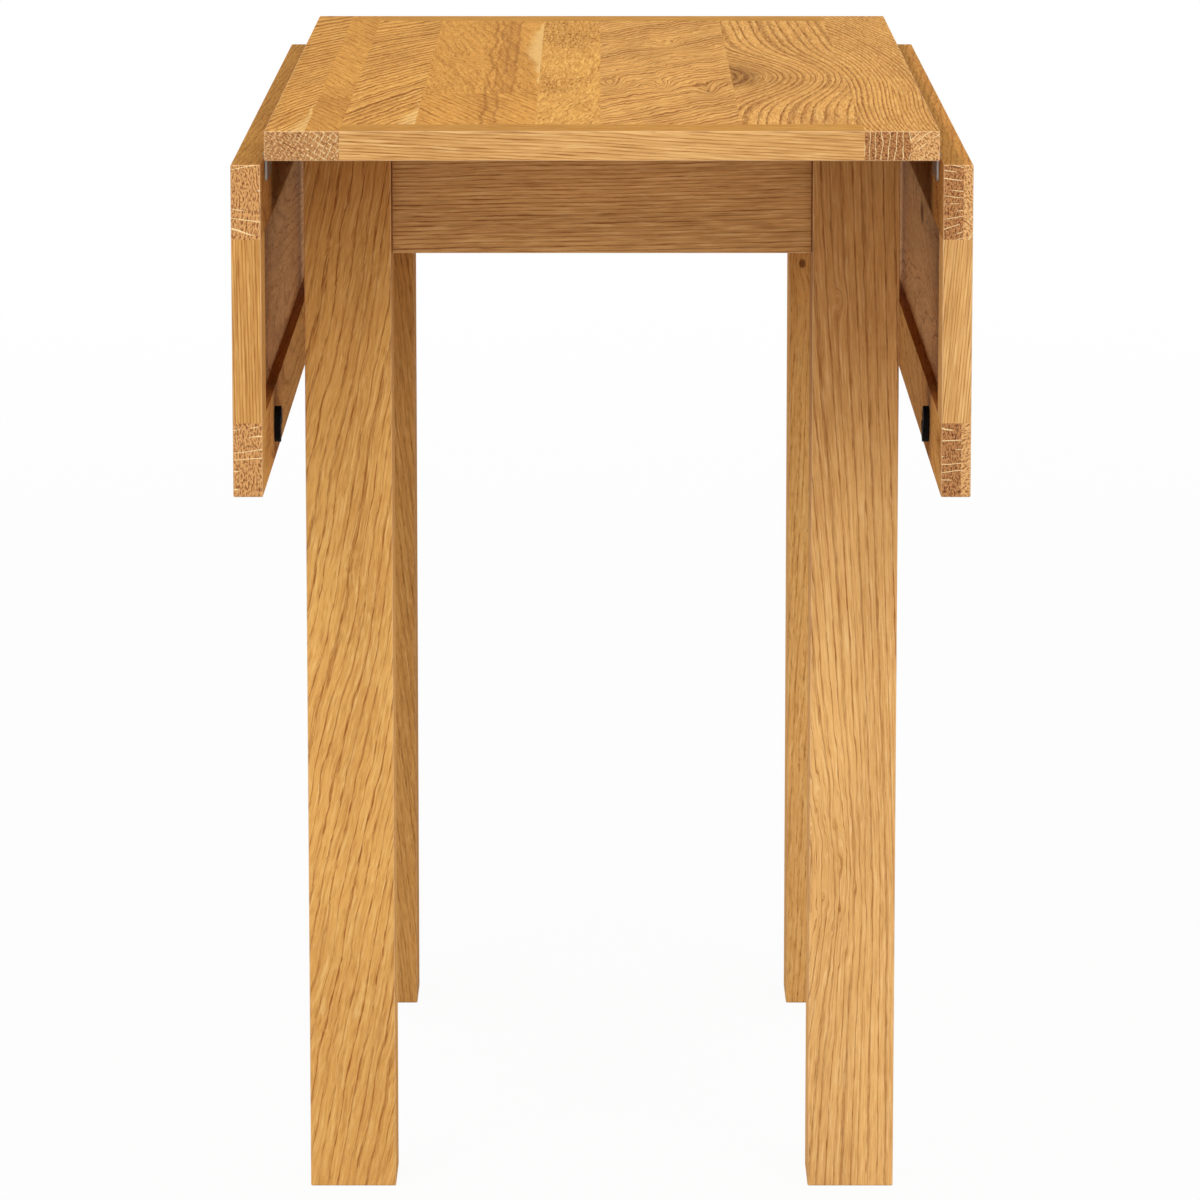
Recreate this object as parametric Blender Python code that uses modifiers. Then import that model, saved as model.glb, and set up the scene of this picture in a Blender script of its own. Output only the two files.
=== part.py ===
"""Drop-leaf dining table: a square-legged frame, a fixed top and two hinged leaves.

Units are metres and +Z is up. The origin is on the floor, under the middle of the table.
X runs across the table, with the left leaf at -X, and Y along it, with the front at -Y.
The leaves hang down, and the bars that carry the raised leaves are pushed in.
"""

import math

import bmesh
import bpy
from mathutils import Matrix, Vector

# Top and leaves
TABLE_HEIGHT = 0.760
TOP_LENGTH = 0.900
TOP_WIDTH = 0.450
LEAF_WIDTH = 0.224
BOARD_THICKNESS = 0.020
STILE_WIDTH = 0.050
TOP_RAIL_WIDTH = 0.045
LEAF_RAIL_WIDTH = 0.050
PANEL_RECESS = 0.0066
LEAF_GAP = 0.001

# Legs and aprons
LEG_SIZE = 0.060
LEG_INNER_FLAT = 0.016
SIDE_OVERHANG = 0.020
END_OVERHANG = 0.140
APRON_HEIGHT = 0.080
APRON_THICKNESS = 0.020
APRON_SETBACK = 0.012

# Corner blocks and the bolts that pull the legs against them
BLOCK_THICKNESS = 0.025
BLOCK_HEIGHT = 0.060
BLOCK_TO_LEG = 0.003
BOLT_RADIUS = 0.004
BOLT_DEPTH_IN_LEG = 0.022
BOLT_HEAD_RADIUS = 0.0085
BOLT_HEAD_HEIGHT = 0.004

# Hinges
HINGE_LENGTH = 0.060
HINGE_FROM_END = 0.057
HINGE_PLATE_WIDTH = 0.018
HINGE_PLATE_THICKNESS = 0.0015
HINGE_CORNER_RADIUS = 0.004
HINGE_FOLD_GAP = 0.0002
KNUCKLE_RADIUS = 0.003
KNUCKLE_COUNT = 5
PIN_RADIUS = 0.0015
SCREW_COUNT = 3
SCREW_HOLE_RADIUS = 0.0020
SCREW_SINK_RADIUS = 0.0036

# Bumpers on the leaves
BUMPER_RADIUS = 0.0125
BUMPER_THICKNESS = 0.004
BUMPER_FROM_EDGE = 0.025

# Pull-out support bars, their stop pegs and their guide rail
BAR_WIDTH = 0.036
BAR_THICKNESS = 0.020
BAR_PROUD = 0.008
BAR_END_GAP = 0.002
BAR_SPACING = 0.009
RIGHT_BAR_Y = 0.105
PEG_RADIUS = 0.004
PEG_PROUD = 0.008
PEG_FROM_RAIL = 0.003
GUIDE_THICKNESS = 0.020
GUIDE_FLOOR = 0.020

# Fits and edges
JOINT_GAP = 0.0003
PIN_CLEARANCE = 0.0001
HOLE_CLEARANCE = 0.0004
ARRIS = 0.0008
ROUND_SIDES = 20
CORNER_SEGMENTS = 4
CUT_MARGIN = 0.002
MERGE_DISTANCE = 0.00001
SAME_PLANE = 0.0000001
SMOOTH_BELOW = math.radians(30)

# Levels and places that follow from the sizes above
DIAGONAL = math.sqrt(2)
UNDERSIDE = TABLE_HEIGHT - BOARD_THICKNESS
FRAME_TOP = UNDERSIDE - JOINT_GAP
APRON_BOTTOM = UNDERSIDE - APRON_HEIGHT
HALF_WIDTH = TOP_WIDTH / 2
HALF_LENGTH = TOP_LENGTH / 2
LEG_X = HALF_WIDTH - SIDE_OVERHANG - LEG_SIZE / 2
LEG_Y = HALF_LENGTH - END_OVERHANG - LEG_SIZE / 2
LEG_FLAT = (LEG_SIZE - LEG_INNER_FLAT) / DIAGONAL
BLOCK_NEAR = LEG_FLAT + BLOCK_TO_LEG
BLOCK_FAR = BLOCK_NEAR + BLOCK_THICKNESS
APRON_FROM_LEG = LEG_SIZE / 2 - APRON_SETBACK
APRON_X = LEG_X + APRON_FROM_LEG
APRON_Y = LEG_Y + APRON_FROM_LEG
AXIS_DROP = JOINT_GAP + HINGE_PLATE_THICKNESS + HINGE_FOLD_GAP
AXIS_X = HALF_WIDTH + LEAF_GAP / 2
AXIS_Z = UNDERSIDE - AXIS_DROP
LEAF_INNER = AXIS_X + AXIS_DROP
LEAF_OUTER = LEAF_INNER + BOARD_THICKNESS
LEAF_TOP = AXIS_Z - LEAF_GAP / 2
LEAF_BOTTOM = LEAF_TOP - LEAF_WIDTH
HINGE_Y = HALF_LENGTH - HINGE_FROM_END - HINGE_LENGTH / 2
LEFT_BAR_Y = RIGHT_BAR_Y + BAR_WIDTH + BAR_SPACING
BAR_BOTTOM = FRAME_TOP - BAR_THICKNESS
BAR_OUTER_END = APRON_X + BAR_PROUD
BAR_INNER_END = APRON_X - APRON_THICKNESS - BAR_END_GAP
PEG_X = GUIDE_THICKNESS / 2 + PEG_FROM_RAIL + PEG_RADIUS

SIDES = {"left": -1, "right": 1}
ENDS = {"front": -1, "back": 1}


def clear_scene():
    for obj in list(bpy.data.objects):
        bpy.data.objects.remove(obj, do_unlink=True)
    for group in list(bpy.data.collections):
        bpy.data.collections.remove(group)


def new_collection(name):
    group = bpy.data.collections.new(name)
    bpy.context.scene.collection.children.link(group)
    return group


def new_finish(name, colour, roughness, metallic=0.0):
    material = bpy.data.materials.new(name)
    material.use_nodes = True
    shader = material.node_tree.nodes["Principled BSDF"]
    shader.inputs["Base Color"].default_value = (*colour, 1.0)
    shader.inputs["Roughness"].default_value = roughness
    shader.inputs["Metallic"].default_value = metallic
    return material


clear_scene()
PIECES = new_collection("drop_leaf_table")
CUTTERS = new_collection("cutters")

OAK_TOP = new_finish("oak_top", (0.60, 0.33, 0.10), 0.35)
OAK_LEAF = new_finish("oak_leaf", (0.56, 0.30, 0.09), 0.35)
OAK_PANEL = new_finish("oak_panel", (0.60, 0.34, 0.11), 0.35)
OAK_LEG = new_finish("oak_leg", (0.55, 0.28, 0.08), 0.38)
OAK_APRON = new_finish("oak_apron", (0.46, 0.24, 0.07), 0.38)
OAK_BAR = new_finish("oak_bar", (0.58, 0.34, 0.13), 0.45)
PINE_BLOCK = new_finish("pine_block", (0.66, 0.47, 0.24), 0.60)
BEECH_PEG = new_finish("beech_peg", (0.66, 0.45, 0.24), 0.50)
ZINC_STEEL = new_finish("zinc_steel", (0.62, 0.61, 0.58), 0.30, 1.0)
BLACK_RUBBER = new_finish("black_rubber", (0.012, 0.012, 0.012), 0.60)


def axis_empty(name, location):
    empty = bpy.data.objects.new(name, None)
    empty.location = location
    PIECES.objects.link(empty)
    return empty


def place(name, mesh, parent, location, angle_y=0.0, angle_z=0.0):
    """Adds a piece at a point of the table, turned about Y and then about Z, and ties it to its parent."""
    piece = bpy.data.objects.new(name, mesh)
    piece.parent = parent
    piece.location = Vector(location) - parent.location
    piece.rotation_euler = (0.0, angle_y, angle_z)
    PIECES.objects.link(piece)
    return piece


def make_cutter(piece):
    """Turns a piece into a hidden helper that only cuts or joins."""
    PIECES.objects.unlink(piece)
    CUTTERS.objects.link(piece)
    piece.hide_render = True
    piece.display_type = "WIRE"
    return piece


def combine(piece, helper, operation="DIFFERENCE"):
    boolean = piece.modifiers.new(helper.name, "BOOLEAN")
    boolean.operation = operation
    boolean.object = helper


def on_outside(point, low, high):
    """Whether a point lies in one of the six planes of a box."""
    return any(abs(value - plane) < SAME_PLANE for box in (low, high) for value, plane in zip(point, box))


def box_between(low, high):
    box = bmesh.new()
    bmesh.ops.create_cube(box, size=1.0)
    bmesh.ops.scale(box, vec=high - low, verts=box.verts)
    return box


def mesh_from(name, shape, finish):
    mesh = bpy.data.meshes.new(name)
    shape.to_mesh(mesh)
    shape.free()
    mesh.materials.append(finish)
    return mesh


def board(name, x, y, z, finish, parent, whole=None):
    """A planed board. Its arrises are eased where both faces lie on the outside of the whole assembly."""
    low, high = (Vector(corner) for corner in zip(x, y, z))
    outer_low, outer_high = whole or (low, high)
    centre = (low + high) / 2
    box = box_between(low, high)
    weight = box.edges.layers.float.new("bevel_weight_edge")
    for edge in box.edges:
        faces = (face.calc_center_median() + centre for face in edge.link_faces)
        edge[weight] = float(all(on_outside(face, outer_low, outer_high) for face in faces))
    piece = place(name, mesh_from(name, box, finish), parent, centre)
    bevel = piece.modifiers.new("arris", "BEVEL")
    bevel.limit_method = "WEIGHT"
    bevel.width = ARRIS
    bevel.segments = 1
    return piece


def box_cutter(name, x, y, z, parent):
    low, high = (Vector(corner) for corner in zip(x, y, z))
    mesh = mesh_from(name, box_between(low, high), OAK_BAR)
    return make_cutter(place(name, mesh, parent, (low + high) / 2))


def turned(name, profile, finish, parent, location, angle_y=0.0, angle_z=0.0):
    """A turned piece: the profile is (radius, height) pairs, from the top of the piece to its bottom."""
    mesh = bpy.data.meshes.new(name)
    points = [(radius, 0.0, height) for radius, height in profile]
    mesh.from_pydata(points, [(i, i + 1) for i in range(len(points) - 1)], [])
    mesh.materials.append(finish)
    piece = place(name, mesh, parent, location, angle_y, angle_z)
    screw = piece.modifiers.new("turning", "SCREW")
    screw.steps = ROUND_SIDES
    screw.render_steps = ROUND_SIDES
    screw.use_merge_vertices = True
    screw.merge_threshold = MERGE_DISTANCE
    return piece


def rod_profile(radius, low, high, ease):
    """The profile of a rod with eased ends."""
    return [
        (0.0, high),
        (radius - ease, high),
        (radius, high - ease),
        (radius, low + ease),
        (radius - ease, low),
        (0.0, low),
    ]


def rod_cutter(name, radius, low, high, parent, location, angle_y=0.0, angle_z=0.0):
    """A round helper along its own Z, between two heights."""
    rod = bmesh.new()
    bmesh.ops.create_cone(
        rod, cap_ends=True, segments=ROUND_SIDES, radius1=radius, radius2=radius, depth=high - low)
    bmesh.ops.translate(rod, vec=(0.0, 0.0, (low + high) / 2), verts=rod.verts)
    return make_cutter(place(name, mesh_from(name, rod, ZINC_STEEL), parent, location, angle_y, angle_z))


def span(side, near, far):
    """The stretch between two distances from the middle, on the given side."""
    return tuple(sorted((side * near, side * far)))


def make_top(frame):
    """Two long stiles with two short rails and a panel between them, flush on the upper face."""
    z = (UNDERSIDE, TABLE_HEIGHT)
    corner = Vector((HALF_WIDTH, HALF_LENGTH, TABLE_HEIGHT))
    whole = (Vector((-HALF_WIDTH, -HALF_LENGTH, UNDERSIDE)), corner)
    inside = HALF_WIDTH - STILE_WIDTH - JOINT_GAP
    rail_end = HALF_LENGTH - TOP_RAIL_WIDTH
    stiles = {}
    for name, side in SIDES.items():
        x = span(side, HALF_WIDTH - STILE_WIDTH, HALF_WIDTH)
        y = (-HALF_LENGTH, HALF_LENGTH)
        stiles[name] = board(f"top_stile_{name}", x, y, z, OAK_TOP, frame, whole)
    for name, end in ENDS.items():
        y = span(end, rail_end, HALF_LENGTH)
        board(f"top_rail_{name}", (-inside, inside), y, z, OAK_TOP, frame, whole)
    panel_y = rail_end - JOINT_GAP
    panel_z = (UNDERSIDE + PANEL_RECESS, TABLE_HEIGHT)
    board("top_panel", (-inside, inside), (-panel_y, panel_y), panel_z, OAK_PANEL, frame, whole)
    return stiles


def make_leaf(name, side, axis):
    """One hanging leaf, framed like the top, with its panel recessed on the inner face.

    It returns the stile that carries the hinges.
    """
    leaf = f"leaf_{name}"
    x = span(side, LEAF_INNER, LEAF_OUTER)
    ends = (-HALF_LENGTH, HALF_LENGTH)
    whole = (Vector((x[0], -HALF_LENGTH, LEAF_BOTTOM)), Vector((x[1], HALF_LENGTH, LEAF_TOP)))
    hinge_stile = board(
        f"{leaf}_hinge_stile", x, ends, (LEAF_TOP - STILE_WIDTH, LEAF_TOP), OAK_LEAF, axis, whole)
    board(f"{leaf}_free_stile", x, ends, (LEAF_BOTTOM, LEAF_BOTTOM + STILE_WIDTH), OAK_LEAF, axis, whole)
    inside_z = (LEAF_BOTTOM + STILE_WIDTH + JOINT_GAP, LEAF_TOP - STILE_WIDTH - JOINT_GAP)
    rail_end = HALF_LENGTH - LEAF_RAIL_WIDTH
    for end_name, end in ENDS.items():
        y = span(end, rail_end, HALF_LENGTH)
        board(f"{leaf}_{end_name}_rail", x, y, inside_z, OAK_LEAF, axis, whole)
    panel_x = span(side, LEAF_INNER + PANEL_RECESS, LEAF_OUTER)
    panel_y = rail_end - JOINT_GAP
    board(f"{leaf}_panel", panel_x, (-panel_y, panel_y), inside_z, OAK_PANEL, axis, whole)
    return hinge_stile


def make_bumpers(name, side, axis):
    """A rubber disc at each end of the leaf, facing the leg that it stops against."""
    ease = BUMPER_THICKNESS / 4
    profile = rod_profile(BUMPER_RADIUS, -BUMPER_THICKNESS / 2, BUMPER_THICKNESS / 2, ease)
    x = side * (LEAF_INNER - JOINT_GAP - BUMPER_THICKNESS / 2)
    for end_name, end in ENDS.items():
        place_at = (x, end * LEG_Y, LEAF_BOTTOM + BUMPER_FROM_EDGE)
        turned(f"bumper_{name}_{end_name}", profile, BLACK_RUBBER, axis, place_at, math.pi / 2)


def turn_about(piece, centre, angle):
    """Turns a piece that was placed about the origin, and carries it to the given centre."""
    place_at = piece.location.copy()
    cos, sin = math.cos(angle), math.sin(angle)
    piece.location.x = centre.x + place_at.x * cos - place_at.y * sin
    piece.location.y = centre.y + place_at.x * sin + place_at.y * cos
    piece.rotation_euler.z = angle


def make_corner_block(name, frame, centre, angle):
    """A block across the corner, with its ends cut to lie flat against the two aprons."""
    apron_face = APRON_THICKNESS - APRON_FROM_LEG + JOINT_GAP
    block = bmesh.new()
    bmesh.ops.create_cube(block, size=1.0)
    for vertex in block.verts:
        reach = BLOCK_FAR if vertex.co.x > 0 else BLOCK_NEAR
        half_length = reach - DIAGONAL * apron_face
        vertex.co = (reach, math.copysign(half_length, vertex.co.y), vertex.co.z * BLOCK_HEIGHT)
    place_at = (centre.x, centre.y, FRAME_TOP - BLOCK_HEIGHT / 2)
    mesh = mesh_from(f"corner_block_{name}", block, PINE_BLOCK)
    return place(f"corner_block_{name}", mesh, frame, place_at, angle_z=angle)


def make_corner(name, side, end, frame):
    """A leg, the block behind it and the bolt between them."""
    centre = Vector((side * LEG_X, end * LEG_Y, 0.0))
    half = LEG_SIZE / 2
    leg = board(
        f"leg_{name}",
        (centre.x - half, centre.x + half),
        (centre.y - half, centre.y + half),
        (0.0, FRAME_TOP),
        OAK_LEG,
        frame,
    )
    inward = math.atan2(-end, -side)
    flat_cutter = box_cutter(
        f"leg_flat_cutter_{name}",
        (LEG_FLAT, LEG_FLAT + LEG_SIZE),
        (-LEG_SIZE, LEG_SIZE),
        (APRON_BOTTOM, FRAME_TOP + CUT_MARGIN),
        frame,
    )
    turn_about(flat_cutter, centre, inward)
    combine(leg, flat_cutter)
    block = make_corner_block(name, frame, centre, inward)
    bolt_z = FRAME_TOP - BLOCK_HEIGHT / 2
    bolt_end = LEG_FLAT - BOLT_DEPTH_IN_LEG
    head_seat = BLOCK_FAR + JOINT_GAP
    head_top = head_seat + BOLT_HEAD_HEIGHT
    profile = [
        (0.0, head_top),
        (BOLT_HEAD_RADIUS, head_top),
        (BOLT_HEAD_RADIUS, head_seat),
        (BOLT_RADIUS, head_seat),
        (BOLT_RADIUS, bolt_end),
        (0.0, bolt_end),
    ]
    bolt_place = (centre.x, centre.y, bolt_z)
    turned(f"leg_bolt_{name}", profile, ZINC_STEEL, frame, bolt_place, math.pi / 2, inward)
    hole_cutter = rod_cutter(
        f"bolt_hole_cutter_{name}",
        BOLT_RADIUS + HOLE_CLEARANCE,
        bolt_end - JOINT_GAP,
        BLOCK_FAR + CUT_MARGIN,
        frame,
        bolt_place,
        math.pi / 2,
        inward,
    )
    combine(leg, hole_cutter)
    combine(block, hole_cutter)


def make_aprons(frame):
    z = (APRON_BOTTOM, FRAME_TOP)
    reach_x = LEG_X - LEG_SIZE / 2 - JOINT_GAP
    reach_y = LEG_Y - LEG_SIZE / 2 - JOINT_GAP
    for name, end in ENDS.items():
        y = span(end, APRON_Y - APRON_THICKNESS, APRON_Y)
        board(f"apron_{name}", (-reach_x, reach_x), y, z, OAK_APRON, frame)
    side_aprons = {}
    for name, side in SIDES.items():
        x = span(side, APRON_X - APRON_THICKNESS, APRON_X)
        side_aprons[name] = board(f"apron_{name}", x, (-reach_y, reach_y), z, OAK_APRON, frame)
    return side_aprons


def make_supports(frame, side_aprons):
    """Two pull-out bars for each leaf, in notches of the side apron and mortises of one guide rail."""
    reach = APRON_Y - APRON_THICKNESS - JOINT_GAP
    guide = board(
        "bar_guide_rail",
        (-GUIDE_THICKNESS / 2, GUIDE_THICKNESS / 2),
        (-reach, reach),
        (BAR_BOTTOM - GUIDE_FLOOR, UNDERSIDE + PANEL_RECESS - JOINT_GAP),
        OAK_BAR,
        frame,
    )
    for name, side in SIDES.items():
        for end_name, end in ENDS.items():
            y = end * (RIGHT_BAR_Y if side > 0 else LEFT_BAR_Y)
            label = f"{name}_{end_name}"
            x = span(side, -BAR_INNER_END, BAR_OUTER_END)
            half = BAR_WIDTH / 2
            slide = axis_empty(f"support_slide_{label}", (side * BAR_OUTER_END, y, BAR_BOTTOM))
            bar = board(
                f"support_bar_{label}", x, (y - half, y + half), (BAR_BOTTOM, FRAME_TOP), OAK_BAR, slide)
            peg_z = (BAR_BOTTOM - PEG_PROUD, FRAME_TOP - JOINT_GAP)
            peg_at = (side * PEG_X, y, 0.0)
            turned(f"stop_peg_{label}", rod_profile(PEG_RADIUS, *peg_z, ARRIS), BEECH_PEG, slide, peg_at)
            hole_cutter = rod_cutter(
                f"peg_hole_cutter_{label}",
                PEG_RADIUS + HOLE_CLEARANCE,
                BAR_BOTTOM - CUT_MARGIN,
                FRAME_TOP + CUT_MARGIN,
                slide,
                peg_at,
            )
            combine(bar, hole_cutter)
            passage = box_cutter(
                f"bar_passage_cutter_{label}",
                span(side, -GUIDE_THICKNESS, APRON_X + CUT_MARGIN),
                (y - half - HOLE_CLEARANCE, y + half + HOLE_CLEARANCE),
                (BAR_BOTTOM - JOINT_GAP, UNDERSIDE),
                frame,
            )
            combine(side_aprons[name], passage)
            combine(guide, passage)


def knuckle_stretch(index, gap):
    """Where a knuckle starts and ends along the hinge, less a gap that is shared by its two ends."""
    pitch = HINGE_LENGTH / KNUCKLE_COUNT
    low = -HINGE_LENGTH / 2 + index * pitch
    return low + gap / 2, low + pitch - gap / 2


def hinge_plate_mesh(name, direction, own):
    """A hinge plate as it lies when the leaf is raised, with the pin's axis on Y through the origin.

    It is made with the axis upright and its thickness along Y, and laid down at the end.
    """
    origin = (0.0, 0.0, 0.0)
    workbench = axis_empty(f"{name}_workbench", origin)
    half = HINGE_LENGTH / 2
    root = (PIN_RADIUS + KNUCKLE_RADIUS) / 2
    x = span(direction, root, HINGE_PLATE_WIDTH)
    faces = (HINGE_FOLD_GAP, HINGE_FOLD_GAP + HINGE_PLATE_THICKNESS)
    low, high = Vector((x[0], faces[0], -half)), Vector((x[1], faces[1], half))
    plate = box_between(low, high)
    across = [edge for edge in plate.edges if abs(edge.verts[0].co.y - edge.verts[1].co.y) > faces[0]]
    corners = [edge for edge in across if edge.verts[0].co.x * direction > 0]
    bmesh.ops.bevel(
        plate, geom=corners, offset=HINGE_CORNER_RADIUS, segments=CORNER_SEGMENTS,
        profile=0.5, affect="EDGES")
    mesh = mesh_from(name, plate, ZINC_STEEL)
    pattern = make_cutter(place(f"{name}_pattern", mesh, workbench, (low + high) / 2))
    for index in range(KNUCKLE_COUNT):
        if index in own:
            stretch = knuckle_stretch(index, JOINT_GAP)
            knuckle = rod_cutter(f"{name}_knuckle_{index}", KNUCKLE_RADIUS, *stretch, workbench, origin)
            combine(pattern, knuckle, "UNION")
        else:
            room = knuckle_stretch(index, 0.0)
            clear = KNUCKLE_RADIUS + HOLE_CLEARANCE
            combine(pattern, rod_cutter(f"{name}_knuckle_room_{index}", clear, *room, workbench, origin))
    reach = half + CUT_MARGIN
    bore = PIN_RADIUS + PIN_CLEARANCE
    combine(pattern, rod_cutter(f"{name}_pin_bore", bore, -reach, reach, workbench, origin))
    sink = [
        (0.0, faces[1] + CUT_MARGIN),
        (SCREW_HOLE_RADIUS, faces[1] + CUT_MARGIN),
        (SCREW_HOLE_RADIUS, faces[1]),
        (SCREW_SINK_RADIUS, faces[0]),
        (SCREW_SINK_RADIUS, faces[0] - CUT_MARGIN),
        (0.0, faces[0] - CUT_MARGIN),
    ]
    screw_x = direction * (KNUCKLE_RADIUS + HINGE_PLATE_WIDTH) / 2
    pitch = HINGE_LENGTH / SCREW_COUNT
    for index in range(SCREW_COUNT):
        place_at = (screw_x, 0.0, (index + 0.5) * pitch - half)
        hole = turned(f"{name}_screw_hole_{index}", sink, ZINC_STEEL, workbench, place_at)
        hole.rotation_euler.x = -math.pi / 2
        combine(pattern, make_cutter(hole))
    bpy.context.view_layer.update()
    seen = pattern.evaluated_get(bpy.context.evaluated_depsgraph_get())
    mesh = bpy.data.meshes.new_from_object(seen)
    mesh.transform(Matrix.Rotation(math.pi / 2, 4, "X") @ pattern.matrix_world)
    mesh.shade_smooth()
    mesh.set_sharp_from_angle(angle=SMOOTH_BELOW)
    return mesh


def make_hinges(frame, leaf_axes, top_stiles, hinge_stiles):
    """Two hinges to a leaf. The plates share their shapes, and those on the left are turned end for end."""
    top_mesh = hinge_plate_mesh("hinge_top_plate", -1, range(0, KNUCKLE_COUNT, 2))
    leaf_mesh = hinge_plate_mesh("hinge_leaf_plate", 1, range(1, KNUCKLE_COUNT, 2))
    half = HINGE_LENGTH / 2
    pin_profile = rod_profile(PIN_RADIUS, -half, half, PIN_RADIUS / 4)
    for name, side in SIDES.items():
        turn = 0.0 if side > 0 else math.pi
        for end_name, end in ENDS.items():
            label = f"{name}_{end_name}"
            place_at = (side * AXIS_X, end * HINGE_Y, AXIS_Z)
            axis = leaf_axes[name]
            place(f"hinge_top_plate_{label}", top_mesh, frame, place_at, angle_z=turn)
            place(f"hinge_leaf_plate_{label}", leaf_mesh, axis, place_at, math.pi / 2, turn)
            pin = turned(f"hinge_pin_{label}", pin_profile, ZINC_STEEL, frame, place_at)
            pin.rotation_euler.x = math.pi / 2
            reach = half + JOINT_GAP
            room = KNUCKLE_RADIUS + HOLE_CLEARANCE
            groove = rod_cutter(f"knuckle_groove_cutter_{label}", room, -reach, reach, frame, place_at)
            groove.rotation_euler.x = math.pi / 2
            combine(top_stiles[name], groove)
            combine(hinge_stiles[name], groove)


def main():
    frame = axis_empty("table_frame", (0.0, 0.0, 0.0))
    top_stiles = make_top(frame)
    leaf_axes = {}
    hinge_stiles = {}
    for name, side in SIDES.items():
        leaf_axes[name] = axis_empty(f"leaf_{name}_axis", (side * AXIS_X, 0.0, AXIS_Z))
        hinge_stiles[name] = make_leaf(name, side, leaf_axes[name])
        make_bumpers(name, side, leaf_axes[name])
    side_aprons = make_aprons(frame)
    for end_name, end in ENDS.items():
        for name, side in SIDES.items():
            make_corner(f"{end_name}_{name}", side, end, frame)
    make_supports(frame, side_aprons)
    make_hinges(frame, leaf_axes, top_stiles, hinge_stiles)


main()
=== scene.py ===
import math
from collections import namedtuple

import bmesh
import bpy
from mathutils import Matrix, Vector


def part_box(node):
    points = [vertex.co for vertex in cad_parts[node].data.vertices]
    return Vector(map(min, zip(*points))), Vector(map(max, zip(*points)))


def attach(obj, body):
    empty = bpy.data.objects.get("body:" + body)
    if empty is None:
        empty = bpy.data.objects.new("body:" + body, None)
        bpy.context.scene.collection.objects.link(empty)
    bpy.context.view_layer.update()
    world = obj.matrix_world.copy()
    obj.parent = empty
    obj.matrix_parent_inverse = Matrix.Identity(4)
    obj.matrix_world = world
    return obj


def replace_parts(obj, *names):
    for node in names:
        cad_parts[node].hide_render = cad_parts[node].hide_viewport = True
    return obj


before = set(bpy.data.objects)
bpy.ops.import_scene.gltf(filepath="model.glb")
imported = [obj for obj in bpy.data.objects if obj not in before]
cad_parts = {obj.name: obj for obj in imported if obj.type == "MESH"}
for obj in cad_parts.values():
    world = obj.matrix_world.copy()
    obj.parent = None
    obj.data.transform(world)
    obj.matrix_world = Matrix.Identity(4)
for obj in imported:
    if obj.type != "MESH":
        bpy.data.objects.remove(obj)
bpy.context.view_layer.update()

# Axes of the table: X across it, Y along it with the front at -Y, Z up
X, Y, Z = range(3)
SIDES = {"left": -1, "right": 1}
ENDS = {"front": -1, "back": 1}
MM = 0.001

# Edges and seams of the finished boards
ARRIS = 0.0010
ARRIS_STEPS = 3
SEAM = 0.00015
SAME_PLANE = 0.00001
FLAT_ANGLE = math.radians(35)
FACE_WEIGHT = 100

# Leg and hinge details that the boards are cut for
LEG_FLAT = 0.0311
KNUCKLE_ROOM = 0.0004
KNUCKLE_END_ROOM = 0.0003
ROUND_STEPS = 40


def paint(red, green, blue):
    """A colour as it looks on a screen, 0 to 255, as the light that a shader takes."""
    def light(level):
        level = level / 255
        return level / 12.92 if level <= 0.04045 else ((level + 0.055) / 1.055) ** 2.4
    return (light(red), light(green), light(blue), 1.0)


WHITE = (1.0, 1.0, 1.0, 1.0)

# Wood tones: clear wood, its brighter fibres and its spring wood lines, then end grain, pores, rays and sap,
# and a painted highlight for the arrises
HONEY = {"clear": paint(232, 176, 98), "gleam": paint(248, 204, 130), "line": paint(150, 82, 32)}
GOLD = {"clear": paint(230, 174, 96), "gleam": paint(250, 208, 132), "line": paint(128, 66, 24)}
CORN = {"clear": paint(231, 176, 104), "gleam": paint(250, 210, 142), "line": paint(130, 70, 30)}
AMBER = {"clear": paint(224, 166, 88), "gleam": paint(242, 194, 116), "line": paint(132, 70, 26)}
FAWN = {"clear": paint(216, 160, 90), "gleam": paint(234, 186, 114), "line": paint(140, 80, 32)}
STRAW = {"clear": paint(236, 182, 112), "gleam": paint(250, 208, 144), "line": paint(156, 97, 47)}
WHEAT = {"clear": paint(246, 190, 112), "gleam": paint(254, 212, 142), "line": paint(180, 110, 50)}
LINEN = {"clear": paint(222, 170, 104), "gleam": paint(242, 198, 134), "line": paint(140, 84, 38)}
FLAX = {"clear": paint(221, 170, 113), "gleam": paint(240, 196, 140), "line": paint(136, 82, 42)}
BISCUIT = {"clear": paint(213, 160, 99), "gleam": paint(230, 184, 124), "line": paint(122, 72, 36)}
TAWNY = {"clear": paint(211, 154, 84), "gleam": paint(227, 176, 106), "line": paint(126, 74, 34)}
RUSSET = {"clear": paint(188, 132, 70), "gleam": paint(204, 152, 88), "line": paint(116, 64, 26)}
PINE = {"clear": paint(226, 188, 130), "gleam": paint(236, 204, 150), "line": paint(190, 136, 76)}
BEECH = {"clear": paint(220, 182, 136), "gleam": paint(230, 196, 154), "line": paint(184, 136, 90)}
END_BROWN = {"clear": paint(215, 158, 98), "line": paint(126, 75, 42)}
END_PALE = {"clear": paint(226, 172, 112), "line": paint(136, 84, 46)}
END_TAN = {"clear": paint(190, 136, 84), "line": paint(106, 60, 34)}
END_DARK = {"clear": paint(186, 128, 78), "line": paint(98, 54, 32)}
PORE = paint(122, 62, 22)
RAY = paint(255, 228, 172)
SAP = paint(250, 216, 154)
# Painted highlight on the rounded arrises
ARRIS_HIGHLIGHT = paint(240, 204, 164)
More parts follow.
